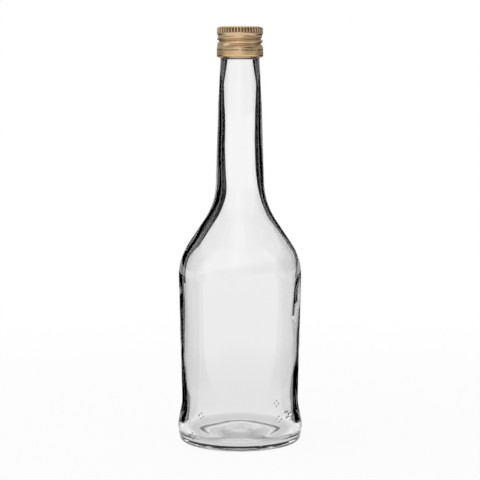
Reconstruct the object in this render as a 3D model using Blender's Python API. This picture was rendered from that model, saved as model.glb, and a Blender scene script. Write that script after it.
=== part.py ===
"""Half-litre clear glass bottle with a rolled-on aluminium screw cap.

The glass is turned from one outline, with an inner side set in from the outer by the wall, and
its finish carries a helical thread and a locking bead. The cap is thin sheet: a knurled cup whose
skirt has a thread rolled into it, and a tamper band below a ring of bridges. A foam wad with a
barrier facing seals the lip. Metres, +Z up, origin on the axis, in the plane it stands on.
"""

import math

import bmesh
import bpy
from mathutils import Vector

# Glass, outer outline: radius and height of each corner, and the radius that rounds it
FOOT_RADIUS = 0.0378
FOOT_ROUNDING = 0.0031
HEEL_RADIUS = 0.0394
HEEL_HEIGHT = 0.0109
HEEL_ROUNDING = 0.0155
WAIST_RADIUS = 0.03655
WAIST_HEIGHT = 0.0238
WAIST_ROUNDING = 0.0370
SHOULDER_RADIUS = 0.03885
SHOULDER_HEIGHT = 0.1145
SHOULDER_ROUNDING = 0.0340
NECK_FOOT_RADIUS = 0.01545
NECK_FOOT_HEIGHT = 0.1498
NECK_FOOT_ROUNDING = 0.0440
NECK_SWELL_RADIUS = 0.0137
NECK_SWELL_BELOW_LIP = 0.0499
NECK_SWELL_ROUNDING = 0.5500
NECK_TOP_RADIUS = 0.0121

# Glass, base: bearing ring and push-up
BEARING_RADIUS = 0.0332
PUSH_UP_DEPTH = 0.0042
PUSH_UP_SHOULDER_RADIUS = 0.0270
PUSH_UP_ROUNDING = 0.0100
FLOOR_THICKNESS = 0.0050

# Glass, wall, measured square to the outer outline at each corner, and the bore of the finish
HEEL_WALL = 0.0034
WAIST_WALL = 0.0030
BODY_WALL = 0.0017
BODY_FOOT_HEIGHT = 0.0500
SHOULDER_WALL = 0.0018
NECK_FOOT_WALL = 0.0029
NECK_SWELL_WALL = 0.0021
FLOOR_ROUNDING = 0.0095
INNER_WAIST_ROUNDING = 0.0330
INNER_BODY_ROUNDING = 0.0900
INNER_SHOULDER_ROUNDING = 0.0320
INNER_NECK_FOOT_ROUNDING = 0.0460
NECK_BORE_RADIUS = 0.0115
NECK_BORE_BELOW_LIP = 0.0330
NECK_BORE_ROUNDING = 0.0300
FINISH_BORE_RADIUS = 0.0095
LIP_BORE_RADIUS = 0.0098

# Glass, finish
FINISH_RADIUS = 0.01245
LIP_HEIGHT = 0.2569
LIP_ROUNDING = 0.0007
BEAD_RADIUS = 0.0138
BEAD_BELOW_LIP = 0.0146
BEAD_LENGTH = 0.0026
BEAD_ROUNDING = 0.0009
BEAD_SLOPE = 0.0006

# Screw thread, shared by the glass and the cap
THREAD_PITCH = 0.003175
THREAD_CREST_RADIUS = 0.0136
THREAD_CREST_WIDTH = 0.0007
THREAD_ROOT_WIDTH = 0.0020
THREAD_TOP_BELOW_LIP = 0.0052
THREAD_TOP_ANGLE = math.radians(197)
THREAD_TURNS = 1.5
THREAD_RUN_OUT_TURNS = 0.1

# Cap shell
SHEET = 0.00023
CAP_RADIUS = 0.01425
CAP_CORNER_WIDTH = 0.0023
CAP_CORNER_HEIGHT = 0.0014
KNURL_COUNT = 45
KNURL_LENGTH = 0.0047
KNURL_DEPTH = 0.0005
KNURL_RIM = 0.0007
RECESS_DEPTH = 0.00047
RECESS_LENGTH = 0.0008
RECESS_SLOPE = 0.0007
SKIRT_RADIUS = 0.01402
SKIRT_LENGTH = 0.0144
FLARE_RADIUS = 0.01440
FLARE_LENGTH = 0.0021
FLARE_SLOPE = 0.0013
ROLLED_DEPTH = 0.0011
ROLLED_WIDTH = 0.0022
ROLLED_TIP_WIDTH = 0.0006
ROLLED_LEAD_TURNS = 0.55
ROLLED_TURNS = 1.5

# Tamper band
SLIT_WIDTH = 0.00045
BAND_LENGTH = 0.0044
TUCK_DEPTH = 0.0009
TUCK_LENGTH = 0.0011
TUCK_ROUNDING = 0.0008
BRIDGE_COUNT = 8
BRIDGE_WIDTH = 0.0009
BRIDGE_CLEARANCE = 0.00005
BRIDGE_THICKNESS_SHARE = 0.7

# Liner
WAD_THICKNESS = 0.0015
WAD_CLEARANCE = 0.0001
FACING_THICKNESS = 0.00025
FACING_GAP = 0.00003
LIP_GAP = 0.00005

# Fineness of the turned shapes
GLASS_SIDES = 52
CAP_SIDES = KNURL_COUNT
ARC_ERROR = 0.00025
OVERRUN = 0.0004
FLUTE_SHARES = (0.0, 0.8, 1.0, 0.8)
CORNER_STEPS = ((30, 0.0), (60, 0.35), (90, 1.0))
INNER_CORNER_STEPS = (90, 45, 0)
FLUTE_FOOT_STEPS = ((1.0, 1.0), (0.35, 0.6), (0.0, 0.0))
BULGE_ROOT_SHARES = (0.4, 0.8)

# Places that follow from the sizes above
NECK_SWELL_HEIGHT = LIP_HEIGHT - NECK_SWELL_BELOW_LIP
NECK_BORE_HEIGHT = LIP_HEIGHT - NECK_BORE_BELOW_LIP
BEAD_MIDDLE = LIP_HEIGHT - BEAD_BELOW_LIP
FACING_BOTTOM = LIP_HEIGHT + LIP_GAP
WAD_BOTTOM = FACING_BOTTOM + FACING_THICKNESS + FACING_GAP
CAP_TOP = WAD_BOTTOM + WAD_THICKNESS + WAD_CLEARANCE + SHEET
KNURL_BOTTOM = CAP_TOP - KNURL_LENGTH
RECESS_TOP = KNURL_BOTTOM - RECESS_SLOPE
RECESS_BOTTOM = RECESS_TOP - RECESS_LENGTH
SKIRT_TOP = RECESS_BOTTOM - RECESS_SLOPE
SHELL_BOTTOM = CAP_TOP - SKIRT_LENGTH
FLARE_TOP = SHELL_BOTTOM + FLARE_LENGTH
FLARE_FOOT = FLARE_TOP - FLARE_SLOPE
BAND_TOP = SHELL_BOTTOM - SLIT_WIDTH
BAND_BOTTOM = BAND_TOP - BAND_LENGTH
KNURL_BORE_RADIUS = CAP_RADIUS - KNURL_DEPTH - SHEET
LINER_RADIUS = KNURL_BORE_RADIUS - WAD_CLEARANCE
RECESS_RADIUS = SKIRT_RADIUS - RECESS_DEPTH
ROLLED_SLOPE = (ROLLED_WIDTH - ROLLED_TIP_WIDTH) / 2 / ROLLED_DEPTH
SMALLEST_TURN = math.radians(0.01)


def clear_scene():
    """Remove every object, so that only the bottle is left."""
    for item in list(bpy.data.objects):
        bpy.data.objects.remove(item, do_unlink=True)


def material(name, colour, roughness, metallic=0.0, clearness=0.0):
    """A Principled material with the piece's colour and finish."""
    made = bpy.data.materials.new(name)
    made.use_nodes = True
    shader = made.node_tree.nodes["Principled BSDF"]
    shader.inputs["Base Color"].default_value = (*colour, 1.0)
    shader.inputs["Roughness"].default_value = roughness
    shader.inputs["Metallic"].default_value = metallic
    shader.inputs["Transmission Weight"].default_value = clearness
    made.diffuse_color = (*colour, 1.0 - clearness / 2)
    return made


def glass_material():
    return material("clear_glass", (0.93, 0.95, 0.95), 0.03, clearness=1.0)


def gold_material():
    return material("gold_lacquered_aluminium", (0.62, 0.44, 0.23), 0.30, metallic=1.0)


def foam_material():
    return material("white_foam", (0.86, 0.86, 0.84), 0.75)


def facing_material():
    return material("barrier_film", (0.80, 0.82, 0.83), 0.25)


def wanted_reaches(corners):
    """How far each corner's rounding runs along its sides, and by what angle the corner turns."""
    reaches = [0.0]
    turns = [0.0]
    for before, corner, after in zip(corners, corners[1:], corners[2:]):
        back = Vector(before[:2]) - Vector(corner[:2])
        ahead = Vector(after[:2]) - Vector(corner[:2])
        turn = math.pi - back.angle(ahead)
        turns.append(turn)
        reaches.append(corner[2] * math.tan(turn / 2) if turn > SMALLEST_TURN else 0.0)
    return reaches + [0.0], turns + [0.0]


def fitted_reaches(corners):
    """The reaches, where two roundings that would meet share the side between them."""
    wanted, turns = wanted_reaches(corners)
    fitted = list(wanted)
    for side, (low, high) in enumerate(zip(corners, corners[1:])):
        length = (Vector(high[:2]) - Vector(low[:2])).length
        both = wanted[side] + wanted[side + 1]
        if both > length:
            for end in (side, side + 1):
                fitted[end] = min(fitted[end], wanted[end] * length / both)
    return fitted, turns


def rounded(corners):
    """Points of an outline whose inner corners, each (radius, height, rounding), become arcs."""
    reaches, turns = fitted_reaches(corners)
    points = []
    for index, corner in enumerate(corners):
        here = Vector(corner[:2])
        if reaches[index] <= 0:
            points.append(here)
            continue
        turn = turns[index]
        back = (Vector(corners[index - 1][:2]) - here).normalized()
        ahead = (Vector(corners[index + 1][:2]) - here).normalized()
        radius = reaches[index] / math.tan(turn / 2)
        middle = here + (back + ahead).normalized() * (radius / math.cos(turn / 2))
        arm = here + back * reaches[index] - middle
        way = 1 if back.cross(ahead) < 0 else -1
        step_angle = 2 * math.acos(max(1 - ARC_ERROR / radius, 0.0))
        steps = max(2, math.ceil(turn / step_angle))
        for step in range(steps + 1):
            cos = math.cos(way * turn * step / steps)
            sin = math.sin(way * turn * step / steps)
            along = Vector((arm.x * cos - arm.y * sin, arm.x * sin + arm.y * cos))
            points.append(middle + along)
    return points


def inset(before, corner, after, wall):
    """The corner moved in from the outer outline, so that both its sides move by the wall."""
    first = (Vector(corner) - Vector(before)).normalized()
    second = (Vector(after) - Vector(corner)).normalized()
    outward = Vector((first.y, -first.x)) + Vector((second.y, -second.x))
    return Vector(corner) - outward * (wall / (1 + first.dot(second)))


def ring(bm, radii, height):
    """One ring of vertices round the axis, with a radius for each."""
    return [
        bm.verts.new(
            (
                radius * math.cos(math.tau * side / len(radii)),
                radius * math.sin(math.tau * side / len(radii)),
                height,
            )
        )
        for side, radius in enumerate(radii)
    ]


def round_ring(bm, radius, height, sides):
    """A ring of one radius, or a single vertex on the axis."""
    return ring(bm, [radius] * (sides if radius > 0 else 1), height)


def join_rings(bm, low, high):
    """Faces between two rings, whose counts are equal or one a multiple of the other."""
    if len(low) > len(high):
        low, high = high, low
    ratio = len(high) // len(low)
    for side in range(len(low)):
        here = low[side]
        there = low[(side + 1) % len(low)]
        fan = [high[(side * ratio + step) % len(high)] for step in range(ratio + 1)]
        if len(low) == 1:
            for first, second in zip(high, high[1:] + high[:1]):
                bm.faces.new((here, first, second))
        elif ratio == 1:
            bm.faces.new((here, there, fan[1], fan[0]))
        else:
            middle = ratio // 2
            for step in range(ratio):
                foot = here if step < middle else there
                bm.faces.new((foot, fan[step + 1], fan[step]))
            bm.faces.new((here, there, fan[middle]))


def mesh_object(name, bm, finish, smooth_angle=math.radians(35)):
    """A named object from the mesh, its faces turned outward and its round sides smooth."""
    bmesh.ops.recalc_face_normals(bm, faces=bm.faces)
    mesh = bpy.data.meshes.new(name)
    bm.to_mesh(mesh)
    bm.free()
    mesh.shade_smooth()
    mesh.set_sharp_from_angle(angle=smooth_angle)
    if finish:
        mesh.materials.append(finish)
    made = bpy.data.objects.new(name, mesh)
    bpy.context.scene.collection.objects.link(made)
    return made


def turned(name, outline, sides, finish):
    """A solid of revolution, from an outline that starts and ends on the axis or closes."""
    bm = bmesh.new()
    rings = [round_ring(bm, point[0], point[1], sides) for point in outline]
    for low, high in zip(rings, rings[1:]):
        join_rings(bm, low, high)
    if len(rings[0]) > 1:
        join_rings(bm, rings[-1], rings[0])
    return mesh_object(name, bm, finish)


def helical_bar(name, first_turn, turns, steps_per_turn, height_at, section_at):
    """A closed bar wound down round the axis.

    Turns count down from the top of the glass thread. The section is a list of (radius, height
    above its middle) for each place along the bar, given as the turns from its first end.
    """
    bm = bmesh.new()
    steps = round(turns * steps_per_turn)
    loops = []
    for step in range(steps + 1):
        along = turns * step / steps
        angle = THREAD_TOP_ANGLE - math.tau * (first_turn + along)
        middle = height_at(first_turn + along)
        loops.append(
            [
                bm.verts.new((radius * math.cos(angle), radius * math.sin(angle), middle + rise))
                for radius, rise in section_at(along)
            ]
        )
    for low, high in zip(loops, loops[1:]):
        for side in range(len(low)):
            after = (side + 1) % len(low)
            bm.faces.new((low[side], low[after], high[after], high[side]))
    bm.faces.new(loops[0])
    bm.faces.new(reversed(loops[-1]))
    return mesh_object(name, bm, None)


def combine(target, tool, operation):
    """Apply a Boolean to the target and remove the tool."""
    bpy.context.view_layer.update()
    modifier = target.modifiers.new(operation.lower(), "BOOLEAN")
    modifier.operation = operation
    modifier.solver = "EXACT"
    modifier.object = tool
    graph = bpy.context.evaluated_depsgraph_get()
    result = bpy.data.meshes.new_from_object(target.evaluated_get(graph))
    target.modifiers.remove(modifier)
    target.data = result
    bpy.data.objects.remove(tool, do_unlink=True)


def run_in(along, turns, run_out):
    """0 at either end of a bar, rising smoothly to 1 over its run-out."""
    share = min(along, turns - along) / run_out
    return math.sin(min(max(share, 0.0), 1.0) * math.pi / 2)


def thread_height(turn):
    """Height of the middle of the glass thread, so many turns down from its top."""
    return LIP_HEIGHT - THREAD_TOP_BELOW_LIP - THREAD_PITCH * turn


def rolled_height(turn):
    """Height of the middle of the cap's rolled thread, which seats under the glass thread."""
    return thread_height(turn) - THREAD_PITCH / 2


def outer_corners():
    """Corners of the glass outside, from the push-up under the base to the bore at the lip."""
    bead_low = BEAD_MIDDLE - BEAD_LENGTH / 2
    bead_high = BEAD_MIDDLE + BEAD_LENGTH / 2
    return [
        (0, PUSH_UP_DEPTH, 0),
        (PUSH_UP_SHOULDER_RADIUS, PUSH_UP_DEPTH / 2, PUSH_UP_ROUNDING),
        (BEARING_RADIUS, 0, 0),
        (FOOT_RADIUS, 0, FOOT_ROUNDING),
        (HEEL_RADIUS, HEEL_HEIGHT, HEEL_ROUNDING),
        (WAIST_RADIUS, WAIST_HEIGHT, WAIST_ROUNDING),
        (SHOULDER_RADIUS, SHOULDER_HEIGHT, SHOULDER_ROUNDING),
        (NECK_FOOT_RADIUS, NECK_FOOT_HEIGHT, NECK_FOOT_ROUNDING),
        (NECK_SWELL_RADIUS, NECK_SWELL_HEIGHT, NECK_SWELL_ROUNDING),
        (NECK_TOP_RADIUS, bead_low - BEAD_SLOPE, 0),
        (BEAD_RADIUS, bead_low, BEAD_ROUNDING),
        (BEAD_RADIUS, bead_high, BEAD_ROUNDING),
        (FINISH_RADIUS, bead_high + BEAD_SLOPE, 0),
        (FINISH_RADIUS, LIP_HEIGHT, LIP_ROUNDING),
        (LIP_BORE_RADIUS, LIP_HEIGHT, LIP_ROUNDING),
    ]


def inner_corners(outer):
    """Corners of the glass inside, from the lip down the bore to the middle of the floor."""
    foot, heel, waist, shoulder, neck, swell, top = (Vector(corner[:2]) for corner in outer[3:10])
    inner_neck = inset(shoulder, neck, swell, NECK_FOOT_WALL)
    inner_swell = inset(neck, swell, top, NECK_SWELL_WALL)
    inner_waist = inset(heel, waist, shoulder, WAIST_WALL)
    inner_shoulder = inset(waist, shoulder, neck, SHOULDER_WALL)
    inner_heel = inset(foot, heel, waist, HEEL_WALL)
    body = waist.lerp(shoulder, (BODY_FOOT_HEIGHT - waist.y) / (shoulder.y - waist.y))
    inner_body = inset(waist, body, shoulder, BODY_WALL)
    return [
        (LIP_BORE_RADIUS, LIP_HEIGHT - LIP_ROUNDING * 2, 0),
        (FINISH_BORE_RADIUS, BEAD_MIDDLE, NECK_BORE_ROUNDING),
        (NECK_BORE_RADIUS, NECK_BORE_HEIGHT, NECK_BORE_ROUNDING),
        (*inner_swell, NECK_SWELL_ROUNDING),
        (*inner_neck, INNER_NECK_FOOT_ROUNDING),
        (*inner_shoulder, INNER_SHOULDER_ROUNDING),
        (*inner_body, INNER_BODY_ROUNDING),
        (*inner_waist, INNER_WAIST_ROUNDING),
        (inner_heel.x, PUSH_UP_DEPTH + FLOOR_THICKNESS, FLOOR_ROUNDING),
        (0, PUSH_UP_DEPTH + FLOOR_THICKNESS, 0),
    ]


def glass_thread():
    """The helical ridge of the finish, rooted inside the wall and fading at both ends."""
    root = FINISH_RADIUS - OVERRUN

    def section(along):
        share = run_in(along, THREAD_TURNS, THREAD_RUN_OUT_TURNS)
        faded = FINISH_RADIUS - OVERRUN / 2
        crest = faded + (THREAD_CREST_RADIUS - faded) * share
        half_root = THREAD_ROOT_WIDTH / 2
        half_crest = THREAD_CREST_WIDTH / 2
        return [(root, -half_root), (crest, -half_crest), (crest, half_crest), (root, half_root)]

    return helical_bar("thread", 0.0, THREAD_TURNS, GLASS_SIDES, thread_height, section)


def glass_bottle():
    """The bottle: outline turned all round, with the thread joined to the finish."""
    outer = outer_corners()
    corners = outer + inner_corners(outer)
    made = turned("glass_bottle", rounded(corners), GLASS_SIDES, glass_material())
    combine(made, glass_thread(), "UNION")
    return made


def knurled(radius, share):
    """Radii of a ring of the knurl, whose flutes are pressed in by a share of their depth."""
    return [radius - KNURL_DEPTH * share * depth for depth in FLUTE_SHARES] * KNURL_COUNT


def cap_corner(degrees, across=0.0, up=0.0):
    """A place on the rounded corner of the cap's top, or so far inside it, as (radius, height)."""
    angle = math.radians(degrees)
    radius = CAP_RADIUS - CAP_CORNER_WIDTH + (CAP_CORNER_WIDTH - across) * math.sin(angle)
    return radius, CAP_TOP - CAP_CORNER_HEIGHT + (CAP_CORNER_HEIGHT - up) * math.cos(angle)


def cap_rings(bm):
    """The sheet of the cap as rings, up the inside from the skirt's edge and down the outside."""
    bore = CAP_RADIUS - KNURL_BORE_RADIUS
    inner = [
        (FLARE_RADIUS - SHEET, SHELL_BOTTOM),
        (FLARE_RADIUS - SHEET, FLARE_FOOT),
        (SKIRT_RADIUS - SHEET, FLARE_TOP),
        (SKIRT_RADIUS - SHEET, SKIRT_TOP),
        (RECESS_RADIUS - SHEET, RECESS_BOTTOM),
        (RECESS_RADIUS - SHEET, RECESS_TOP),
        (KNURL_BORE_RADIUS, KNURL_BOTTOM),
        *(cap_corner(degrees, bore, SHEET) for degrees in INNER_CORNER_STEPS),
        (0, CAP_TOP - SHEET),
        (0, CAP_TOP),
        cap_corner(0),
    ]
    rings = [round_ring(bm, radius, height, CAP_SIDES) for radius, height in inner]
    for degrees, share in CORNER_STEPS:
        radius, height = cap_corner(degrees)
        rings.append(ring(bm, knurled(radius, share), height))
    for rise, share in FLUTE_FOOT_STEPS:
        height = KNURL_BOTTOM + KNURL_RIM + KNURL_DEPTH * rise
        rings.append(ring(bm, knurled(CAP_RADIUS, share), height))
    outer = [
        (CAP_RADIUS, KNURL_BOTTOM),
        (RECESS_RADIUS, RECESS_TOP),
        (RECESS_RADIUS, RECESS_BOTTOM),
        (SKIRT_RADIUS, SKIRT_TOP),
        (SKIRT_RADIUS, FLARE_TOP),
        (FLARE_RADIUS, FLARE_FOOT),
        (FLARE_RADIUS, SHELL_BOTTOM),
    ]
    return rings + [round_ring(bm, radius, height, CAP_SIDES) for radius, height in outer]


def rolled_bar(name, outer_radius, tip_radius, faded_radius, half_at):
    """A bar along the rolled thread, its tip pressed in from the faded radius at both ends."""

    def section(along):
        share = run_in(along, ROLLED_TURNS, THREAD_RUN_OUT_TURNS)
        tip = faded_radius + (tip_radius - faded_radius) * share
        return [
            (outer_radius, -half_at(outer_radius)),
            (outer_radius, half_at(outer_radius)),
            (tip, half_at(tip_radius)),
            (tip, -half_at(tip_radius)),
        ]

    return helical_bar(
        name, -ROLLED_LEAD_TURNS, ROLLED_TURNS, CAP_SIDES, rolled_height, section
    )


def cap_shell():
    """The cap: a knurled cup of sheet with the thread rolled into its skirt."""
    bm = bmesh.new()
    rings = cap_rings(bm)
    for low, high in zip(rings, rings[1:]):
        if len(low) > 1 or len(high) > 1:
            join_rings(bm, low, high)
    join_rings(bm, rings[-1], rings[0])
    made = mesh_object("cap_shell", bm, gold_material())

    tip = SKIRT_RADIUS - ROLLED_DEPTH
    sheet_along = SHEET / math.cos(math.atan(ROLLED_SLOPE))

    def groove_half(radius):
        return ROLLED_TIP_WIDTH / 2 + (radius - tip) * ROLLED_SLOPE

    def bulge_half(radius):
        return groove_half(radius) + sheet_along

    root, faded = (SKIRT_RADIUS - SHEET * share for share in BULGE_ROOT_SHARES)
    bulge = rolled_bar("bulge", root, tip - SHEET, faded, bulge_half)
    combine(made, bulge, "UNION")
    groove = rolled_bar(
        "groove", SKIRT_RADIUS + OVERRUN, tip, SKIRT_RADIUS + OVERRUN / 2, groove_half
    )
    combine(made, groove, "DIFFERENCE")
    return made


def bridge(index):
    """One of the thin bridges that join the band to the skirt until the first opening."""
    bm = bmesh.new()
    bmesh.ops.create_cube(bm, size=1.0)
    top = SHELL_BOTTOM - BRIDGE_CLEARANCE
    bottom = BAND_TOP - SLIT_WIDTH
    size = Vector((SHEET * BRIDGE_THICKNESS_SHARE, BRIDGE_WIDTH, top - bottom))
    bmesh.ops.scale(bm, vec=size, verts=bm.verts)
    made = mesh_object(f"bridge_{index}", bm, None)
    angle = math.tau * index / BRIDGE_COUNT
    reach = FLARE_RADIUS - SHEET / 2
    made.location = (reach * math.cos(angle), reach * math.sin(angle), (top + bottom) / 2)
    made.rotation_euler = (0, 0, angle)
    return made


def tamper_band():
    """The band that stays on the neck: a ring tucked in under the locking bead."""
    inner = FLARE_RADIUS - SHEET
    outer_side = [
        (FLARE_RADIUS, BAND_TOP, 0),
        (FLARE_RADIUS, BAND_BOTTOM + TUCK_LENGTH, TUCK_ROUNDING + SHEET),
        (FLARE_RADIUS - TUCK_DEPTH, BAND_BOTTOM, 0),
    ]
    inner_side = [
        (inner - TUCK_DEPTH, BAND_BOTTOM + SHEET / 2, 0),
        (inner, BAND_BOTTOM + TUCK_LENGTH + SHEET / 2, TUCK_ROUNDING),
        (inner, BAND_TOP, 0),
    ]
    outline = rounded(outer_side) + rounded(inner_side)
    made = turned("tamper_band", outline, CAP_SIDES, gold_material())
    for index in range(BRIDGE_COUNT):
        combine(made, bridge(index), "UNION")
    return made


def liner_wad():
    """The foam disc, which fills the cap up into its rounded corner."""
    across = CAP_RADIUS - LINER_RADIUS
    up = SHEET + WAD_CLEARANCE
    corner = [cap_corner(degrees, across, up) for degrees in INNER_CORNER_STEPS]
    outline = [(0, WAD_BOTTOM), (LINER_RADIUS, WAD_BOTTOM), *corner, (0, CAP_TOP - up)]
    return turned("liner_wad", outline, CAP_SIDES, foam_material())


def liner_facing():
    """The flat film under the wad."""
    top = FACING_BOTTOM + FACING_THICKNESS
    outline = [(0, FACING_BOTTOM), (LINER_RADIUS, FACING_BOTTOM), (LINER_RADIUS, top), (0, top)]
    return turned("liner_facing", outline, CAP_SIDES, facing_material())


def carrier(name, parent=None):
    """An empty on the axis, at the height of the lip, that carries the pieces of one body."""
    made = bpy.data.objects.new(name, None)
    made.empty_display_size = FINISH_RADIUS
    made.location = (0, 0, LIP_HEIGHT) if parent is None else (0, 0, 0)
    made.parent = parent
    bpy.context.scene.collection.objects.link(made)
    return made


def carry(parent, children):
    """Parent the pieces without moving them."""
    bpy.context.view_layer.update()
    for child in children:
        child.parent = parent
        child.matrix_parent_inverse = parent.matrix_world.inverted()


def build():
    clear_scene()
    glass_bottle()
    shell = cap_shell()
    band = tamper_band()
    wad = liner_wad()
    facing = liner_facing()
    rise = carrier("cap_rise_axis")
    turn = carrier("cap_turn_axis", rise)
    band_turn = carrier("band_turn_axis")
    carry(rise, [wad, facing])
    carry(turn, [shell])
    carry(band_turn, [band])
    bpy.context.view_layer.update()


build()
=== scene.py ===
"""Looks of a half-litre clear glass bottle with a gold aluminium screw cap.

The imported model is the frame: every piece here stands on or replaces one of its nodes. Metres,
+Z up, with the origin on the bottle's axis in the plane it stands on.
"""

import math

import bpy
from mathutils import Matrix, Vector


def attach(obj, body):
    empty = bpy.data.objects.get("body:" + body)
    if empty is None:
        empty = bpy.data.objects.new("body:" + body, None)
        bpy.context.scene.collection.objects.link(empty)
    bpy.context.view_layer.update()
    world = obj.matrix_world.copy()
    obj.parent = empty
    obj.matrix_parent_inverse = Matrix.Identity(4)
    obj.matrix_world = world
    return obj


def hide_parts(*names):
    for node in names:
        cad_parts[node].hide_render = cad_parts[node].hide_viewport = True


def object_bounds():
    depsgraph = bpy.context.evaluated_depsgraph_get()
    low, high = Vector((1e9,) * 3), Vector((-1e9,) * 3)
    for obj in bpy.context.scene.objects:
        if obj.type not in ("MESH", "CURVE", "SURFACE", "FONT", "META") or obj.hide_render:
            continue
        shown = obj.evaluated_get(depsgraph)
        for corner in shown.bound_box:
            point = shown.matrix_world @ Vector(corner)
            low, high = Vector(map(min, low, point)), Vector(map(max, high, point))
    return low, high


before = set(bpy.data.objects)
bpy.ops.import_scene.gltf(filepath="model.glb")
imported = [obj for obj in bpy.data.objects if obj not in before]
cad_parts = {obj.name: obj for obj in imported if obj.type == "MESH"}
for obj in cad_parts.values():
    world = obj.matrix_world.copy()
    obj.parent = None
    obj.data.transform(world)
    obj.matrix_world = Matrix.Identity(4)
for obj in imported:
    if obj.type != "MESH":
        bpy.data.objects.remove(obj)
cad_low, cad_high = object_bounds()

# Camera: distance from the point it aims at, the height of that point and the pitch down to it
CAMERA_REACH = 0.9868
CAMERA_AIM = 0.1265
CAMERA_PITCH = math.radians(5.8)
CAMERA_LENS = 118.2
CAMERA_SENSOR = 36
CAMERA_NEAREST = 0.01

# Studio: black flags and floor cards leave a window of white behind the bottle. Bearings are in
# degrees from straight behind it, with the camera at 180
WINDOW_BEARING = 13.1
CARD_RADIUS = 1.2
CARD_ARC = 5

# Floor cards: where they start, how far round each kind of ray finds them, and the cuts along the
# window's edge, each (distance from the middle, bearing)
FLOOR_LIFT = 0.0002
FLOOR_CARD_FOOT = 0.056
FLOOR_CARD_ENDS = {"glossy": 62, "transmission": 95}
FLOOR_CARD_EDGES = [(0.037, 16.5), (0.050, 0)]

# Flags: standing ones that neck and shoulder show, and a near pair for the foot of the shoulder
FLAG_RADIUS = 0.30
FLAG_FOOT = 0.12
FLAG_SPLIT = 0.241
FLAG_TOP = 0.31
FLAG_END = 95
NEAR_RADIUS = 0.15
NEAR_FOOT = 0.083
NEAR_TOP = 0.122
NEAR_BEARING = 24.0

# Grey cards far behind, which the dome of the base shows, each (name, foot, top, level)
BACK_RADIUS = 3.0
BACK_CARDS = [("back_low", 0.62, 0.85, 0.60), ("back_high", 0.85, 1.70, 0.40)]

# Boxes that only reflections show, each (name, first bearing, last bearing, level)
BOX_RADIUS = CARD_RADIUS * 0.8
BOX_LOW = 0.245
BOX_TOP = 1.8
BOXES = [
    ("box_left", -141, -WINDOW_BEARING, 0.40),
    ("box_left_front", -160, -141, 0.60),
    ("box_key", -180, -160, 1.0),
    ("box_right_front", 160, 180, 0.55),
    ("box_right_dark", 112, 160, 0.06),
    ("box_right", WINDOW_BEARING, 112, 0.34),
]

# Floor and surround: levels that rays through the glass, reflections and the camera find, each
# easing from one to the next between two distances from the bottle
FLOOR_SIZE = 60.0
FLOOR_DROP = 0.0001
# Painted shadow round the bottle, found by rays through the glass: grey levels that lighten away
# from it
PAINTED_SHADOW_LEVELS = (0.62, 0.79, 0.85, 0.93)
PAINTED_SHADOW_REACHES = (0.04, 0.10, 0.12, 0.40, 1.05, 1.3)
MIRROR_LEVELS = (0.6, 1.0)
MIRROR_REACHES = (0.25, 0.8)
LOOKED_AT_LEVELS = (0.88, 1.0)
LOOKED_AT_REACHES = (0.1, 0.6)
BACKDROP_LEVEL = 0.92
AMBIENT = 0.55

# Soft box above the bottle
LAMP_PLACE = (-0.3, -0.2, 1.4)
LAMP_SIDE = 0.9
LAMP_POWER = 8

# Glass, outer outline: radius, height and rounding of each corner
PUSH_UP_DEPTH = 0.0052
PUSH_UP = [(0.0100, 0.0049, 0.0200), (0.0281, 0.0010, 0.0100), (0.0340, 0.0, 0.0008)]
FOOT = (0.0378, 0.0, 0.0031)
HEEL = (0.03938, 0.0109, 0.0155)
WAIST = (0.03655, 0.0238, 0.0370)
SHOULDER = (0.03885, 0.1145, 0.0340)
NECK_FOOT = (0.01545, 0.1498, 0.0440)
NECK_SWELL = (0.0137, 0.2070, 0.5500)
NECK_TOP_RADIUS = 0.0121

# Glass, wall, measured square to the outer outline at each corner, and the bore of the finish
FLOOR_CORNER = (0.0368, 0.0038, 0.0078)
FLOOR_DOME = [(0.0308, 0.0028, 0.0100), (0.0103, 0.0078, 0.0300), (0.0, 0.0079, 0.0)]
FLOOR_TOP = 0.0120
WAIST_WALL = (0.0038, 0.0400)
BODY_WALL = (0.0017, 0.0900)
BODY_FOOT_HEIGHT = 0.0500
SHOULDER_WALL = (0.0018, 0.0320)
NECK_FOOT_WALL = (0.0029, 0.0460)
NECK_SWELL_WALL = (0.0021, 0.5500)
NECK_BORE = (0.0115, 0.2239, 0.0300)
FINISH_BORE_RADIUS = 0.0095
LIP_BORE_RADIUS = 0.0098

# Glass, unevenness of the inner wall: shares of the cavity's shift by height, waves between
# heights where they come in and go out, and thicker places, each (angle, height, half-width in
# degrees, half-height, share of the depth)
CAVITY_SHIFTS = [
    (0.035, 0.0), (0.060, 0.3), (0.100, 0.4), (0.122, 1.0), (0.150, 0.7), (0.175, 0.0),
]
CAVITY_SHIFT = 0.0007
WAVE_DEPTH = 0.0005
WAVE_SIZE = 0.03
WAVES_START = (0.014, 0.03)
WAVES_END = (0.19, 0.23)
THICK_DEPTH = 0.001
THICK_PLACES = [(-18, 0.0945, 6, 0.006, 1.0), (-25, 0.0835, 4, 0.006, 0.5)]

# Glass, raised marks above the heel: groups of dots and ticks, as (angle, height), and the dots
# of a group, as spacings across and up
MARK_SIDE = 0.0006
MARK_RISE = 0.0004
MARK_SPACING = 0.0017
DOT_GROUPS = [(-130, 0.0205), (-52, 0.0285), (-50, 0.0186), (-139, 0.0074)]
DOTS = [(-1.1, 0.2), (0.0, 1.0), (1.1, -0.2), (0.0, -1.0)]
TICKS = [(-39, 0.0220), (-34, 0.0204), (-38, 0.0186)]
TICK_LENGTH = 0.0030
MARK_ROOM = 0.0036
MARKS_TOP = 0.0330
MARK_FLAT = 0.4
MARK_CUTS = 5

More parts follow.
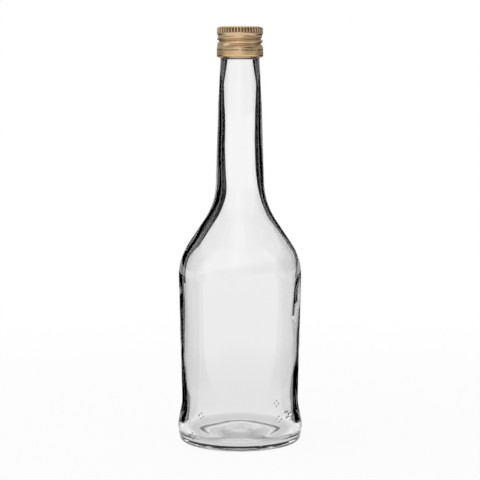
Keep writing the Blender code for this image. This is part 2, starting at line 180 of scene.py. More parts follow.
# Glass, finish
LIP_HEIGHT = 0.2569
LIP_ROUNDING = 0.0007
FINISH_RADIUS = 0.01245
BEAD_RADIUS = 0.0138
BEAD_MIDDLE = 0.2423
BEAD_LENGTH = 0.0026
BEAD_ROUNDING = 0.0009
BEAD_SLOPE = 0.0006
THREAD_PITCH = 0.003175
THREAD_TOP_BELOW_LIP = 0.0052
THREAD_TOP_ANGLE = math.radians(197)
THREAD_TURNS = 1.5
THREAD_CREST_RADIUS = 0.0136
THREAD_CREST_WIDTH = 0.0007
THREAD_ROOT_WIDTH = 0.0020
RUN_OUT_TURNS = 0.1

# Cap and band
SHEET = 0.00023
CAP_TOP = cad_high.z
CAP_RADIUS = 0.01425
CAP_CORNER_WIDTH = 0.0023
CAP_CORNER_HEIGHT = 0.0014
CAP_CORNER_SHARE = 0.35
CAP_BEND = 0.0012
KNURL_COUNT = 45
KNURL_DEPTH = 0.0005
FLUTE_WIDTH = 0.75
FLUTE_FLATNESS = 2.6
FLUTE_SIDES = 0.6
FLUTE_START = 0.0001
KNURL_RIM = 0.0007
KNURL_BOTTOM = CAP_TOP - 0.0047
KNURL_BEND = 0.0003
RECESS_DEPTH = 0.00047
RECESS_LENGTH = 0.0008
RECESS_SLOPE = 0.0007
BEND = 0.0006
SKIRT_RADIUS = 0.01402
SHELL_BOTTOM = CAP_TOP - 0.0144
FLARE_RADIUS = 0.01440
FLARE_LENGTH = 0.0021
FLARE_SLOPE = 0.0013
FLARE_BEND = 0.001
ROLLED_DEPTH = 0.0011
ROLLED_WIDTH = 0.0022
ROLLED_EDGES = (0.15, 1.15)
# Share of full painted shade in the rolled thread's grooves
ROLLED_SHADE = 0.5
ROLLED_LEAD_TURNS = 0.55
ROLLED_TURNS = 1.5
CUT_IN = 0.00012
CUT_LENGTH = 0.00030
SLIT_WIDTH = 0.00045
SLIT_OPEN = 0.00014
BAND_TOP = SHELL_BOTTOM - SLIT_WIDTH
BAND_BOTTOM = BAND_TOP - 0.0044
TUCK_DEPTH = 0.0016
TUCK_LENGTH = 0.0009
BRIDGE_COUNT = 8
BRIDGE_WIDTH = 0.0014
BRIDGE_RISE = SLIT_OPEN * 0.75

# Finishes: how strongly glass bends light, half-widths where a mould seam and the lip's mark in the
# film fade out, and the golds in eight-bit display numbers, the last a dark gold of painted shade
GLASS_INDEX = 1.52
SEAM_WIDTHS = (0.00010, 0.00035)
LIP_MARK_WIDTHS = (0.0009, 0.0017)
CAP_GOLD = (238, 207, 168)
BAND_GOLD = (236, 200, 152)
PAINTED_SHADE_GOLD = (100, 72, 38)

# Fineness
LONGEST_STEP = 0.0022
ARC_STEP = math.radians(6)
MERGED = 2e-6
GLASS_SIDES = 192
CAP_SIDES = KNURL_COUNT * 8
CAP_STEP = 0.0012
SKIRT_STEP = 0.00022
BAND_STEP = 0.0004
GLASS_CREASE = 40
METAL_CREASE = 50


def deselect():
    """Leave edit mode and select nothing."""
    if bpy.context.object and bpy.context.object.mode != "OBJECT":
        bpy.ops.object.mode_set(mode="OBJECT")
    bpy.ops.object.select_all(action="DESELECT")


def name_piece(name):
    """Name the piece just made and apply its place, so that its origin is the world's."""
    piece = bpy.context.object
    bpy.ops.object.transform_apply(location=True, rotation=True, scale=True)
    piece.name = name
    piece.data.name = name
    return piece


def inset(before, corner, after, wall):
    """The corner moved in from the outer outline, so that both its sides move by the wall."""
    first = (Vector(corner) - Vector(before)).normalized()
    second = (Vector(after) - Vector(corner)).normalized()
    outward = Vector((first.y, -first.x)) + Vector((second.y, -second.x))
    return Vector(corner) - outward * (wall / (1 + first.dot(second)))


def fitted_reaches(corners):
    """How far each rounding runs along its sides, where two that would meet share the side."""
    places = [Vector(corner[:2]) for corner in corners]
    turns = [0.0]
    for before, here, after in zip(places, places[1:], places[2:]):
        turns.append(math.pi - (before - here).angle(after - here))
    turns.append(0.0)
    wanted = [corner[2] * math.tan(turn / 2) for corner, turn in zip(corners, turns)]
    fitted = list(wanted)
    for side, (low, high) in enumerate(zip(places, places[1:])):
        both = wanted[side] + wanted[side + 1]
        if both > (high - low).length:
            for end in (side, side + 1):
                fitted[end] = min(fitted[end], wanted[end] * (high - low).length / both)
    return fitted, turns


def rounded(corners, longest):
    """Points of an outline whose corners, each (radius, height, rounding), are drawn as arcs."""
    reaches, turns = fitted_reaches(corners)
    points = []
    for index, corner in enumerate(corners):
        here = Vector(corner[:2])
        if reaches[index] <= 0:
            points.append(here)
            continue
        turn = turns[index]
        back = (Vector(corners[index - 1][:2]) - here).normalized()
        ahead = (Vector(corners[index + 1][:2]) - here).normalized()
        radius = reaches[index] / math.tan(turn / 2)
        middle = here + (back + ahead).normalized() * (radius / math.cos(turn / 2))
        arm = here + back * reaches[index] - middle
        way = 1 if back.cross(ahead) < 0 else -1
        steps = max(2, math.ceil(turn / ARC_STEP), math.ceil(turn * radius / longest))
        for step in range(steps + 1):
            cos = math.cos(way * turn * step / steps)
            sin = math.sin(way * turn * step / steps)
            along = Vector((arm.x * cos - arm.y * sin, arm.x * sin + arm.y * cos))
            points.append(middle + along)
    return points


def stepped(points, longest_at):
    """The outline with its stretches cut into even steps, no longer than asked at each place."""
    cut = [points[0]]
    for start, end in zip(points, points[1:]):
        count = max(1, math.ceil((end - start).length / longest_at(start) - 0.01))
        cut += [start.lerp(end, step / count) for step in range(1, count + 1)]
    return cut


def turned(name, outline, sides, start=0.0, sweep=math.tau):
    """A turned piece: its outline extruded point by point from one vertex, then spun."""
    across = Vector((math.cos(start), math.sin(start), 0))
    deselect()
    bpy.ops.mesh.primitive_plane_add(
        size=SHEET, location=across * outline[0][0] + Vector((0, 0, outline[0][1]))
    )
    piece = name_piece(name)
    bpy.ops.object.mode_set(mode="EDIT")
    bpy.ops.mesh.select_all(action="SELECT")
    bpy.ops.mesh.merge(type="CENTER")
    for low, high in zip(outline, outline[1:]):
        move = across * (high[0] - low[0]) + Vector((0, 0, high[1] - low[1]))
        bpy.ops.mesh.extrude_region_move(TRANSFORM_OT_translate={"value": move})
    bpy.ops.mesh.select_all(action="SELECT")
    bpy.ops.mesh.spin(steps=sides, angle=sweep, center=(0, 0, 0), axis=(0, 0, 1))
    bpy.ops.mesh.select_all(action="SELECT")
    bpy.ops.mesh.remove_doubles(threshold=MERGED)
    bpy.ops.mesh.normals_make_consistent(inside=False)
    bpy.ops.object.mode_set(mode="OBJECT")
    return piece


def share_out(piece, name, share_at):
    """A vertex group whose weights follow from each vertex's radius, angle and height."""
    group = piece.vertex_groups.new(name=name)
    for vertex in piece.data.vertices:
        place = vertex.co
        share = share_at(math.hypot(place.x, place.y), math.atan2(place.y, place.x), place.z)
        if share > 0:
            group.add([vertex.index], min(share, 1.0), "REPLACE")
    return group.name


def keep_shares(piece, group, name):
    """The weights of a group kept as an attribute, for the finish to read."""
    index = piece.vertex_groups[group].index
    kept = piece.data.attributes.new(name, "FLOAT", "POINT")
    for vertex in piece.data.vertices:
        shares = [one.weight for one in vertex.groups if one.group == index]
        kept.data[vertex.index].value = shares[0] if shares else 0.0


def apply(piece, kind, **settings):
    """Add a modifier with its settings and apply it."""
    deselect()
    piece.select_set(True)
    bpy.context.view_layer.objects.active = piece
    modifier = piece.modifiers.new(kind.lower(), kind)
    for name, value in settings.items():
        setattr(modifier, name, value)
    bpy.ops.object.modifier_apply(modifier=modifier.name)


def push(piece, group, depth, direction="NORMAL"):
    """Displace a piece by a depth times the weights of a group."""
    apply(
        piece, "DISPLACE", vertex_group=group, strength=depth, mid_level=0.0, direction=direction
    )


def smooth(piece, degrees):
    deselect()
    piece.select_set(True)
    bpy.context.view_layer.objects.active = piece
    bpy.ops.object.shade_smooth_by_angle(angle=math.radians(degrees))


def ease(value, low, high):
    """0 below low and 1 above high, with a smooth rise between them."""
    share = min(max((value - low) / (high - low), 0.0), 1.0)
    return share * share * (3 - 2 * share)


def thread_place(angle, height, drop, first, turns):
    """The rise above the nearest turn of the thread, and how far that turn has run in."""
    part = (THREAD_TOP_ANGLE - angle) / math.tau % 1.0
    best = (LIP_HEIGHT, 0.0)
    for whole in range(-1, 3):
        turn = part + whole
        if first <= turn <= first + turns:
            middle = LIP_HEIGHT - THREAD_TOP_BELOW_LIP - drop - THREAD_PITCH * turn
            if abs(height - middle) < abs(best[0]):
                run = min(turn - first, first + turns - turn) / RUN_OUT_TURNS
                best = (height - middle, ease(run, 0.0, 1.0))
    return best


class Value:
    """A shader value that adds its Math nodes as it is written."""

    def __init__(self, finish, socket):
        self.finish = finish
        self.socket = socket

    def math(self, operation, *others):
        parts = [other.socket if isinstance(other, Value) else other for other in others]
        return self.finish.maths(operation, self.socket, *parts)

    def __add__(self, other):
        return self.math("ADD", other)

    __radd__ = __add__

    def __sub__(self, other):
        return self.math("SUBTRACT", other)

    def __rsub__(self, other):
        return self.finish.maths("SUBTRACT", other, self.socket)

    def __mul__(self, other):
        return self.math("MULTIPLY", other)

    __rmul__ = __mul__

    def __pow__(self, other):
        return self.math("POWER", other)

    def __abs__(self):
        return self.math("ABSOLUTE")


class Finish:
    """A material, or the world, and the nodes it is made of."""

    def __init__(self, owner):
        owner.use_nodes = True
        self.owner = owner
        self.tree = owner.node_tree
        self.tree.nodes.clear()

    def node(self, kind, settings=None, **sockets):
        """A node with its settings, then the values or links of its sockets by name."""
        made = self.tree.nodes.new(kind)
        for name, value in (settings or {}).items():
            setattr(made, name, value)
        for name, value in sockets.items():
            key = int(name[1:]) if name[1:].isdigit() else name.replace("_", " ")
            self.fill(made.inputs[key], value)
        return made

    def fill(self, socket, value):
        value = value.socket if isinstance(value, Value) else value
        if isinstance(value, bpy.types.NodeSocket):
            self.tree.links.new(value, socket)
        else:
            socket.default_value = value

    def maths(self, operation, *parts):
        made = self.node("ShaderNodeMath", {"operation": operation})
        for socket, part in zip(made.inputs, parts):
            self.fill(socket, part)
        return Value(self, made.outputs[0])

    def place(self):
        return self.node("ShaderNodeTexCoord").outputs["Object"]

    def axes(self):
        split = self.node("ShaderNodeSeparateXYZ", Vector=self.place())
        return [Value(self, output) for output in split.outputs]

    def reach(self):
        """Distance from the bottle's axis."""
        x, y, _ = self.axes()
        return (x * x + y * y) ** 0.5

    def attribute(self, name):
        made = self.node("ShaderNodeAttribute", {"attribute_name": name})
        return Value(self, made.outputs["Fac"])

    def noise(self, scale, stretch=(1, 1, 1), detail=3.0):
        """Noise on the piece's own place, finer along an axis whose stretch is larger."""
        mapped = self.node("ShaderNodeMapping", Vector=self.place(), Scale=stretch)
        made = self.node(
            "ShaderNodeTexNoise", Vector=mapped.outputs[0], Scale=scale, Detail=detail
        )
        return Value(self, made.outputs["Fac"])

    def ramp(self, value, low, high, start=0.0, end=1.0):
        """The value eased from start at low to end at high."""
        settings = {"interpolation_type": "SMOOTHSTEP"}
        made = self.node(
            "ShaderNodeMapRange", settings, Value=value, i1=low, i2=high, i3=start, i4=end
        )
        return Value(self, made.outputs[0])

    def blend(self, share, first, second):
        """Two colours mixed by a share."""
        made = self.node("ShaderNodeMix", {"data_type": "RGBA"}, i0=share, i6=first, i7=second)
        return made.outputs[2]

    def bump(self, height, distance, strength=1.0, normal=None):
        sockets = {"Height": height, "Distance": distance, "Strength": strength}
        if normal:
            sockets["Normal"] = normal
        return self.node("ShaderNodeBump", **sockets).outputs["Normal"]

    def rays(self, *kinds):
        """1 for rays of these kinds, and 0 for all others."""
        light = self.node("ShaderNodeLightPath")
        total = sum(Value(self, light.outputs[f"Is {kind} Ray"]) for kind in kinds)
        return total.math("MINIMUM", 1.0)

    def mix(self, share, first, second):
        return self.node(
            "ShaderNodeMixShader", Fac=share, i1=first.outputs[0], i2=second.outputs[0]
        )

    def close(self, shader):
        world = isinstance(self.owner, bpy.types.World)
        kind = "ShaderNodeOutputWorld" if world else "ShaderNodeOutputMaterial"
        self.node(kind, Surface=shader.outputs[0])
        return self.owner


def new_finish(name):
    return Finish(bpy.data.materials.new(name))


def rgb(red, green, blue):
    """A colour written in eight-bit display numbers, as the shader wants it."""

    def linear(level):
        return level / 12.92 if level <= 0.04045 else ((level + 0.055) / 1.055) ** 2.4

    return (linear(red / 255), linear(green / 255), linear(blue / 255), 1.0)


def grey(level):
    """A grey given as a plain level, where 1 is white."""
    return (level, level, level, 1.0)


def glass_finish():
    """Clear glass, a little wavy from blowing, with faint mould seams."""
    f = new_finish("clear_glass")
    _, y, _ = f.axes()
    wave = f.noise(45, detail=1.0)
    seam = f.ramp(abs(y), *SEAM_WIDTHS, 1.0, 0.0) * f.attribute("outer_side")
    waved = f.bump(wave, 0.00012)
    seamed = f.bump(seam, 0.00003, normal=waved)
    glass = f.node(
        "ShaderNodeBsdfPrincipled", Base_Color=rgb(254, 254, 254), Roughness=0.0,
        IOR=GLASS_INDEX, Transmission_Weight=1.0, Normal=seamed,
    )
    clear = f.node("ShaderNodeBsdfTransparent", Color=rgb(240, 242, 242))
    return f.close(f.mix(f.rays("Shadow"), glass, clear))


def gold_finish(name, colour):
    """Gold lacquer on drawn aluminium: fine drawn lines, and painted shade that darkens the hollows
    and the slit.
    """
    f = new_finish(name)
    drawn = f.noise(900, stretch=(1, 1, 0.06), detail=4.0)
    cloud = f.noise(160, detail=2.0)
    # Painted shade: the colour darkens towards a dark gold where the piece lies in a hollow or
    # along the slit
    hollow = f.ramp(f.attribute("painted_shade"), 0.15, 0.9)
    base = f.blend(hollow * 0.85 + (cloud - 0.5) * 0.12, rgb(*colour), rgb(*PAINTED_SHADE_GOLD))
    metal = f.node(
        "ShaderNodeBsdfPrincipled", Base_Color=base, Metallic=1.0, Anisotropic=0.35,
        Roughness=drawn * 0.06 + cloud * 0.06 + 0.28, Coat_Weight=0.12, Coat_Roughness=0.2,
        Normal=f.bump(drawn, 0.00001, 0.1),
    )
    return f.close(metal)


def foam_finish():
    """White closed-cell foam, with fine pores."""
    f = new_finish("white_foam")
    cells = f.node("ShaderNodeTexVoronoi", Vector=f.place(), Scale=2600.0).outputs["Distance"]
    pores = f.ramp(cells, 0.1, 0.5)
    foam = f.node(
        "ShaderNodeBsdfPrincipled", Roughness=pores * 0.1 + 0.7, Normal=f.bump(pores, 0.00006),
        Base_Color=f.blend(pores, rgb(214, 214, 210), rgb(238, 238, 235)),
    )
    return f.close(foam)


def film_finish():
    """Smooth barrier film, marked by the lip that it seals on."""
    f = new_finish("barrier_film")
    middle = (LIP_BORE_RADIUS + FINISH_RADIUS) / 2
    mark = f.ramp(abs(f.reach() - middle), *LIP_MARK_WIDTHS, 1.0, 0.0)
    colour = f.blend(mark, rgb(232, 234, 236), rgb(206, 209, 212))
    film = f.node(
        "ShaderNodeBsdfPrincipled", Base_Color=colour,
        Roughness=mark * 0.15 + f.noise(500) * 0.1 + 0.2, Normal=f.bump(mark, 0.00008),
    )
    return f.close(film)


def backdrop_world():
    """A white surround where it is looked at, and an even soft light elsewhere."""
    f = Finish(bpy.context.scene.world or bpy.data.worlds.new("studio"))
    bpy.context.scene.world = f.owner
    looked_at = f.rays("Camera", "Glossy", "Transmission") * (1.0 - AMBIENT) + AMBIENT
    strength = looked_at - f.rays("Transmission") * (1.0 - BACKDROP_LEVEL)
    f.close(f.node("ShaderNodeBackground", Color=(1, 1, 1, 1), Strength=strength))


def floor_finish():
    """Pale floor that meets the white surround, with a painted shadow, greyer near the bottle,
    where the glass shows it.
    """
    f = new_finish("pale_floor")
    reach = f.reach()
    diffuse = f.node("ShaderNodeBsdfDiffuse", Color=rgb(247, 247, 247))
    white = f.node("ShaderNodeEmission", Color=(1, 1, 1, 1), Strength=1.0)
    # Painted shadow: a grey glow, darkest at the bottle's foot, for rays through the glass
    painted_shadow = grey(PAINTED_SHADOW_LEVELS[0])
    for index, level in enumerate(PAINTED_SHADOW_LEVELS[1:]):
        reaches = PAINTED_SHADOW_REACHES[2 * index : 2 * index + 2]
        painted_shadow = f.blend(f.ramp(reach, *reaches), painted_shadow, grey(level))
    painted_shadow = f.node("ShaderNodeEmission", Color=painted_shadow, Strength=1.0)
    looked_at = f.rays("Camera") * f.ramp(reach, *LOOKED_AT_REACHES, *LOOKED_AT_LEVELS)
    seen = looked_at + f.rays("Glossy") * f.ramp(reach, *MIRROR_REACHES, *MIRROR_LEVELS)
    return f.close(f.mix(f.rays("Transmission"), f.mix(seen, diffuse, white), painted_shadow))


def card_finish(name, level):
    """A card lit to a level, or black cloth at level nought."""
    f = new_finish(name)
    return f.close(f.node("ShaderNodeEmission", Color=grey(level), Strength=1.0))


def dress(piece, finish, body, slot, *nodes):
    """Give a piece its finish, the body it rides on and the nodes it stands for; the slot is not
    used.
    """
    piece.data.materials.clear()
    piece.data.materials.append(finish)
    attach(piece, body)
    if nodes:
        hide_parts(*nodes)


def outer_corners():
    """Corners of the outside of the glass, from the push-up to the bore at the lip."""
    bead_low = BEAD_MIDDLE - BEAD_LENGTH / 2
    bead_high = BEAD_MIDDLE + BEAD_LENGTH / 2
    return [
        (0, PUSH_UP_DEPTH, 0),
        *PUSH_UP,
        FOOT,
        HEEL,
        WAIST,
        SHOULDER,
        NECK_FOOT,
        NECK_SWELL,
        (NECK_TOP_RADIUS, bead_low - BEAD_SLOPE, BEAD_SLOPE),
        (BEAD_RADIUS, bead_low, BEAD_ROUNDING),
        (BEAD_RADIUS, bead_high, BEAD_ROUNDING),
        (FINISH_RADIUS, bead_high + BEAD_SLOPE, BEAD_SLOPE),
        (FINISH_RADIUS, LIP_HEIGHT, LIP_ROUNDING),
        (LIP_BORE_RADIUS, LIP_HEIGHT, LIP_ROUNDING),
    ]


def inner_corners(outer):
    """Corners of the inside of the glass, from the lip down to the middle of the floor."""
    heel, waist, shoulder, neck, swell, top = (Vector(corner[:2]) for corner in outer[5:11])
    body = waist.lerp(shoulder, (BODY_FOOT_HEIGHT - waist.y) / (shoulder.y - waist.y))
    inner = [
        (neck, swell, top, NECK_SWELL_WALL),
        (shoulder, neck, swell, NECK_FOOT_WALL),
        (waist, shoulder, neck, SHOULDER_WALL),
        (waist, body, shoulder, BODY_WALL),
        (heel, waist, shoulder, WAIST_WALL),
    ]
    walls = [(*inset(before, at, after, wall[0]), wall[1]) for before, at, after, wall in inner]
    return [
        (LIP_BORE_RADIUS, LIP_HEIGHT - LIP_ROUNDING * 2, 0),
        (FINISH_BORE_RADIUS, BEAD_MIDDLE, NECK_BORE[2]),
        NECK_BORE,
        *walls,
        FLOOR_CORNER,
        *FLOOR_DOME,
    ]


def glass_step(place):
    """The longest step of the glass outline at a place: short where the thread is raised."""
    in_thread = BEAD_MIDDLE + BEAD_LENGTH < place.y < LIP_HEIGHT - LIP_ROUNDING * 2
    return THREAD_CREST_WIDTH / 4 if in_thread and place.x > FINISH_RADIUS - SHEET else LONGEST_STEP


def thread_share(reach, angle, height):
    """How far the thread stands out of the finish at a place on it."""
    if reach < FINISH_RADIUS - SHEET or height < BEAD_MIDDLE + BEAD_LENGTH / 2:
        return 0.0
    rise, share = thread_place(angle, height, 0.0, 0.0, THREAD_TURNS)
    crest, root = THREAD_CREST_WIDTH / 2, THREAD_ROOT_WIDTH / 2
    return (1 - ease(abs(rise), crest, root)) * share


def mark_offsets(places, angle, height):
    """Distances across and up from each of some marks to a place on the outside of the heel."""
    for bearing, middle in places:
        turn = (math.degrees(angle) - bearing + 180) % 360 - 180
        yield math.radians(turn) * HEEL[0], height - middle


def mark_share(angle, height):
    """How far a raised dot or tick stands out at a place on the outside of the heel."""
    nearest = MARK_ROOM
    for across, up in mark_offsets(DOT_GROUPS, angle, height):
        for dot in DOTS:
            reach = math.hypot(across - dot[0] * MARK_SPACING, up - dot[1] * MARK_SPACING)
            nearest = min(nearest, reach)
    for across, up in mark_offsets(TICKS, angle, height):
        nearest = min(nearest, math.hypot(max(abs(across) - TICK_LENGTH / 2, 0.0), up))
    return 1 - ease(nearest, MARK_SIDE * MARK_FLAT, MARK_SIDE)


def cut_finer(piece, outside):
    """Subdivide the faces round the raised marks."""
    deselect()
    piece.select_set(True)
    bpy.context.view_layer.objects.active = piece
    bpy.ops.object.mode_set(mode="EDIT")
    bpy.ops.mesh.select_mode(type="FACE")
    bpy.ops.mesh.select_all(action="DESELECT")
    bpy.ops.object.mode_set(mode="OBJECT")
    for face in piece.data.polygons:
        x, y, z = face.center
        offsets = mark_offsets(DOT_GROUPS + TICKS, math.atan2(y, x), z)
        near = any(max(abs(across), abs(up)) < MARK_ROOM for across, up in offsets)
        face.select = near and outside(math.hypot(x, y), 0.0, z) > 0
    bpy.ops.object.mode_set(mode="EDIT")
    bpy.ops.mesh.subdivide(number_cuts=MARK_CUTS)
    bpy.ops.mesh.select_mode(type="VERT")
    bpy.ops.object.mode_set(mode="OBJECT")


def make_glass():
    """The glass, turned fine, its thread raised and its inner wall shifted and waved."""
    outer = outer_corners()
    inner = inner_corners(outer)
    outline = stepped(rounded(outer + inner, LONGEST_STEP), glass_step)
    piece = turned("bottle_glass", outline, GLASS_SIDES)
    share_out(piece, "thread", thread_share)
    push(piece, "thread", THREAD_CREST_RADIUS - FINISH_RADIUS)

    lip = max(range(len(outline)), key=lambda place: outline[place].y)
    faces = outline[:lip], outline[:lip:-1]
    middles = {}

    def radius_at(face, height):
        for low, high in zip(face, face[1:]):
            if low.y <= height <= high.y and high.y > low.y:
                return low.lerp(high, (height - low.y) / (high.y - low.y)).x
        return LIP_BORE_RADIUS

    def middle(height):
        """The radius halfway through the wall, worked out once for each height."""
        height = round(height, 5)
        if height not in middles:
            middles[height] = sum(radius_at(face, height) for face in faces) / 2
        return middles[height]

    def inside(reach, angle, height):
        if height < FLOOR_TOP or height > BEAD_MIDDLE:
            return 0.0
        return 1.0 if reach < middle(height) else 0.0

    def shifted(reach, angle, height):
        share = 0.0
        for (low, first), (high, second) in zip(CAVITY_SHIFTS, CAVITY_SHIFTS[1:]):
            if low <= height <= high:
                share = first + (second - first) * ease(height, low, high)
        return share * inside(reach, angle, height)

    def thick(reach, angle, height):
        total = 0.0
        for turned_to, middle, width, half, depth in THICK_PLACES:
            off = (math.degrees(angle) - turned_to + 180) % 360 - 180
            total += depth * math.exp(-((off / width) ** 2) - ((height - middle) / half) ** 2)
        return total * inside(reach, angle, height)

    def waved(reach, angle, height):
        share = ease(height, *WAVES_START) * (1 - ease(height, *WAVES_END))
        return share * inside(reach, angle, height)

    def outside(reach, angle, height):
        if height <= FLOOR_TOP and reach <= FLOOR_CORNER[0]:
            return 0.0
        return 1 - inside(reach, angle, height)

    def marked(reach, angle, height):
        if height >= MARKS_TOP or not outside(reach, angle, height):
            return 0.0
        return mark_share(angle, height)

    cut_finer(piece, outside)
    shares = {"shifted": shifted, "thick": thick, "waved": waved}
    shares.update({"outside": outside, "marked": marked})
    for name, share_at in shares.items():
        share_out(piece, name, share_at)
    keep_shares(piece, "outside", "outer_side")
    push(piece, "shifted", CAVITY_SHIFT, "X")
    push(piece, "thick", THICK_DEPTH)
    push(piece, "marked", MARK_RISE)
    waves = bpy.data.textures.new("blown_waves", "CLOUDS")
    waves.noise_scale = WAVE_SIZE
    waves.noise_depth = 1
    apply(
        piece, "DISPLACE", texture=waves, texture_coords="LOCAL", vertex_group="waved",
        strength=WAVE_DEPTH,
    )
    smooth(piece, GLASS_CREASE)
    dress(piece, glass_finish(), "bottle", "clear_glass", "glass_bottle")


def flute_share(angle, height):
    """Depth share of the knurl: wide flutes with round ends, between narrow ridges."""
    across = abs(angle / math.tau * KNURL_COUNT % 1.0 - 0.5) * 2 / FLUTE_WIDTH
    foot = KNURL_BOTTOM + KNURL_RIM + KNURL_DEPTH
    below = max(foot - height, 0.0) / KNURL_DEPTH
    start = ease(CAP_TOP - height, FLUTE_START, CAP_CORNER_HEIGHT)
    return max(1 - across**FLUTE_FLATNESS - below**2, 0.0) ** FLUTE_SIDES * start


def cap_share(reach, angle, height):
    """Share of the rolled thread's depth to which the sheet is pressed in at a place on it."""
    if reach < CAP_RADIUS - CAP_CORNER_WIDTH:
        return 0.0
    if height > KNURL_BOTTOM - SHEET:
        return flute_share(angle, height) * KNURL_DEPTH / ROLLED_DEPTH
    rise, share = thread_place(angle, height, THREAD_PITCH / 2, -ROLLED_LEAD_TURNS, ROLLED_TURNS)
    return share * (1 - ease(abs(rise) / (ROLLED_WIDTH / 2), *ROLLED_EDGES))


def cut_shade(angle):
    """1 along the slit between cap and band, which gets painted shade, and 0 at its bridges."""
    step = math.tau / BRIDGE_COUNT
    off = abs((angle + step / 2) % step - step / 2) * FLARE_RADIUS
    return 1.0 if off > BRIDGE_WIDTH / 2 else 0.0


def cap_shade(reach, angle, height):
    """How much painted shade the finish gives a place: more the deeper it lies in its own hollow,
    and full along the slit.
    """
    if height < SHELL_BOTTOM + CUT_LENGTH / 2:
        return cut_shade(angle)
    share = cap_share(reach, angle, height)
    in_knurl = height > KNURL_BOTTOM - SHEET
    return share * (ROLLED_DEPTH / KNURL_DEPTH if in_knurl else ROLLED_SHADE)


def cap_step(place):
    """The longest step of the cap outline at a place: short where it is pressed."""
    return CAP_STEP if place.y > CAP_TOP - SHEET else SKIRT_STEP


def make_cap():
    """The cap shell: a turned cup, its flutes and thread pressed in, then given its thickness."""
    flare_top = SHELL_BOTTOM + FLARE_LENGTH
    recess_top = KNURL_BOTTOM - RECESS_SLOPE
    recess_bottom = recess_top - RECESS_LENGTH
    recess = SKIRT_RADIUS - RECESS_DEPTH
    edge = SHELL_BOTTOM - (SLIT_WIDTH - SLIT_OPEN) / 2
    share = CAP_CORNER_SHARE
    corners = [
        (FLARE_RADIUS - CUT_IN, edge, 0),
        (FLARE_RADIUS, edge + CUT_LENGTH, BEND),
        (FLARE_RADIUS, flare_top - FLARE_SLOPE, FLARE_BEND),
        (SKIRT_RADIUS, flare_top, FLARE_BEND),
        (SKIRT_RADIUS, recess_bottom - RECESS_SLOPE, BEND),
        (recess, recess_bottom, BEND),
        (recess, recess_top, BEND),
        (CAP_RADIUS, KNURL_BOTTOM, KNURL_BEND),
        (CAP_RADIUS, CAP_TOP - CAP_CORNER_HEIGHT, CAP_BEND),
        (CAP_RADIUS - CAP_CORNER_WIDTH * share, CAP_TOP - CAP_CORNER_HEIGHT * share, CAP_BEND),
        (CAP_RADIUS - CAP_CORNER_WIDTH, CAP_TOP, CAP_BEND),
        (0, CAP_TOP, 0),
    ]
    piece = turned("cap_gold", stepped(rounded(corners, CAP_STEP), cap_step), CAP_SIDES)
    share_out(piece, "pressed", cap_share)
    # Weights of painted shade in the flutes, the rolled thread's grooves and along the slit, kept
    # for the finish
    share_out(piece, "shaded", cap_shade)
    keep_shares(piece, "shaded", "painted_shade")
    push(piece, "pressed", -ROLLED_DEPTH)
    apply(piece, "SOLIDIFY", thickness=SHEET, offset=-1)
    smooth(piece, METAL_CREASE)
    finish = gold_finish("gold_lacquer", CAP_GOLD)
    dress(piece, finish, "cap", "gold_aluminium", "cap_shell")


def make_band():
    """The tamper band: a turned ring tucked in under the bead, with the cut bridges on its edge."""
    edge = BAND_TOP + (SLIT_WIDTH - SLIT_OPEN) / 2
    corners = [
        (FLARE_RADIUS - TUCK_DEPTH, BAND_BOTTOM, 0),
        (FLARE_RADIUS, BAND_BOTTOM + TUCK_LENGTH, FLARE_BEND),
        (FLARE_RADIUS, edge - CUT_LENGTH, BEND),
        (FLARE_RADIUS - CUT_IN, edge, 0),
    ]
    outline = stepped(rounded(corners, BAND_STEP), lambda place: BAND_STEP)
    piece = turned("band_gold", outline, CAP_SIDES)
    bpy.ops.object.mode_set(mode="EDIT")
    bpy.ops.mesh.select_mode(type="VERT")
    bpy.ops.mesh.select_all(action="DESELECT")
    bpy.ops.object.mode_set(mode="OBJECT")
    for vertex in piece.data.vertices:
        bearing = math.atan2(vertex.co.y, vertex.co.x)
        vertex.select = vertex.co.z > edge - MERGED / 2 and not cut_shade(bearing)
    bpy.ops.object.mode_set(mode="EDIT")
    bpy.ops.mesh.select_mode(type="EDGE")
    bpy.ops.mesh.extrude_edges_move(TRANSFORM_OT_translate={"value": (0, 0, BRIDGE_RISE)})
    bpy.ops.mesh.select_mode(type="VERT")
    bpy.ops.object.mode_set(mode="OBJECT")

    # Painted shade along the slit at the band's top edge, broken at the bridges; the band's group
    # for it holds shade, not pressing
    def shade(reach, angle, height):
        return cut_shade(angle) if height > edge - CUT_LENGTH / 2 else 0.0

    share_out(piece, "pressed", shade)
    keep_shares(piece, "pressed", "painted_shade")
    apply(piece, "SOLIDIFY", thickness=SHEET, offset=-1)
    smooth(piece, METAL_CREASE)
    finish = gold_finish("band_gold", BAND_GOLD)
    dress(piece, finish, "band", "gold_aluminium", "tamper_band")


def make_camera():
    """The camera at the photograph's viewing angle, aimed at the bottle's middle."""
    back = Vector((0, -math.cos(CAMERA_PITCH), math.sin(CAMERA_PITCH))) * CAMERA_REACH
    bpy.ops.object.camera_add(
        location=back + Vector((0, 0, CAMERA_AIM)), rotation=(math.pi / 2 - CAMERA_PITCH, 0, 0)
    )
    camera = bpy.context.object
    camera.name = "camera"
    camera.data.lens = CAMERA_LENS
    camera.data.sensor_width = CAMERA_SENSOR
    camera.data.clip_start = CAMERA_NEAREST
    bpy.context.scene.camera = camera
    bpy.context.view_layer.update()
    return camera


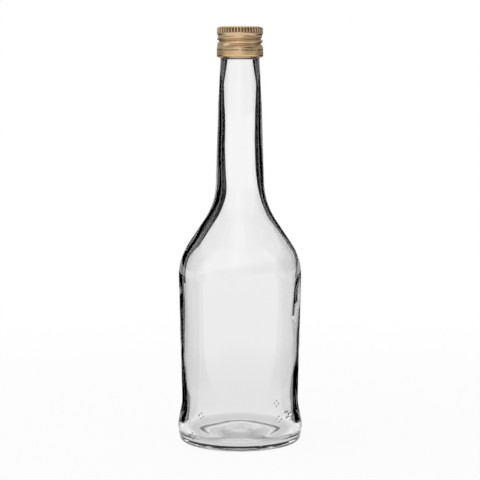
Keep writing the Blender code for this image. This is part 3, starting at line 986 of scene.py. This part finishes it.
def make_card(name, camera, profile, start, end, level, rays):
    """A curved card between two bearings, which keeps its place before the camera.

    The profile is its edge, as (radius, height) points, and only these rays meet it.
    """
    steps = max(2, round((end - start) / CARD_ARC))
    card = turned(name, profile, steps, math.radians(90 - start), math.radians(end - start))
    card.data.materials.append(card_finish(name, level))
    for ray in ("camera", "diffuse", "glossy", "transmission", "shadow"):
        setattr(card, f"visible_{ray}", ray in rays)
    card.parent = camera
    card.matrix_parent_inverse = camera.matrix_world.inverted()
    return card


def trim(card, side):
    """Cut a floor card back to the edge of the white window."""
    deselect()
    card.select_set(True)
    bpy.context.view_layer.objects.active = card
    bpy.ops.object.mode_set(mode="EDIT")
    for offset, degrees in FLOOR_CARD_EDGES:
        bearing = math.radians(degrees)
        bpy.ops.mesh.select_all(action="SELECT")
        bpy.ops.mesh.bisect(
            plane_co=(side * offset, 0, 0),
            plane_no=(-side * math.cos(bearing), math.sin(bearing), 0),
            clear_outer=True,
        )
    bpy.ops.object.mode_set(mode="OBJECT")


def wall(low, high, reach):
    """The profile of a card that stands upright."""
    return [(reach, low), (reach, high)]


def make_studio(camera):
    """Black flags and floor cards beside the window, grey cards in it, and the boxes."""
    floor_card = [(FLOOR_CARD_FOOT, FLOOR_LIFT), (CARD_RADIUS, FLOOR_LIFT)]
    flag = wall(FLAG_FOOT, FLAG_SPLIT, FLAG_RADIUS)
    high_flag = wall(FLAG_SPLIT, FLAG_TOP, FLAG_RADIUS)
    near_flag = wall(NEAR_FOOT, NEAR_TOP, NEAR_RADIUS)
    mirrored, through = ("glossy",), ("transmission",)

    def beside(side, first, last):
        return sorted((side * first, side * last))

    for side, hand in ((-1, "left"), (1, "right")):
        for ray, last in FLOOR_CARD_ENDS.items():
            span = beside(side, WINDOW_BEARING, last)
            card = make_card(f"{ray}_card_{hand}", camera, floor_card, *span, 0.0, (ray,))
            trim(card, side)
        span = beside(side, WINDOW_BEARING, FLAG_END)
        make_card(f"flag_{hand}", camera, flag, *span, 0.0, mirrored + through)
        make_card(f"high_flag_{hand}", camera, high_flag, *span, 0.0, through)
        span = beside(side, NEAR_BEARING, FLAG_END)
        make_card(f"near_flag_{hand}", camera, near_flag, *span, 0.0, through)
    for name, low, high, level in BACK_CARDS:
        shade = wall(low, high, BACK_RADIUS)
        make_card(name, camera, shade, -WINDOW_BEARING, WINDOW_BEARING, level, through)
    box = wall(BOX_LOW, BOX_TOP, BOX_RADIUS)
    for name, start, end, level in BOXES:
        make_card(name, camera, box, start, end, level, mirrored)


def make_floor():
    """A plain pale floor."""
    deselect()
    bpy.ops.mesh.primitive_plane_add(size=FLOOR_SIZE, location=(0, 0, -FLOOR_DROP))
    floor = name_piece("floor")
    floor.data.materials.append(floor_finish())


def make_lamp():
    """A soft box above, which faces the bottle."""
    bpy.ops.object.light_add(type="AREA", location=LAMP_PLACE)
    lamp = bpy.context.object
    lamp.name = "soft_box_top"
    lamp.data.shape = "RECTANGLE"
    lamp.data.size = lamp.data.size_y = LAMP_SIDE
    lamp.data.energy = LAMP_POWER
    lamp.visible_glossy = False
    lamp.visible_transmission = False
    aim = Vector((0, 0, CAMERA_AIM)) - Vector(LAMP_PLACE)
    lamp.rotation_euler = aim.to_track_quat("-Z", "Y").to_euler()


def main():
    """The studio, the new pieces, and finishes for the two carried over from the CAD."""
    deselect()
    camera = make_camera()
    make_floor()
    make_studio(camera)
    make_lamp()
    backdrop_world()
    bpy.context.scene.view_settings.view_transform = "Standard"
    make_glass()
    make_cap()
    make_band()
    for node, finish in (("liner_wad", foam_finish()), ("liner_facing", film_finish())):
        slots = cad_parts[node].data.materials
        slots.clear()
        slots.append(finish)


main()
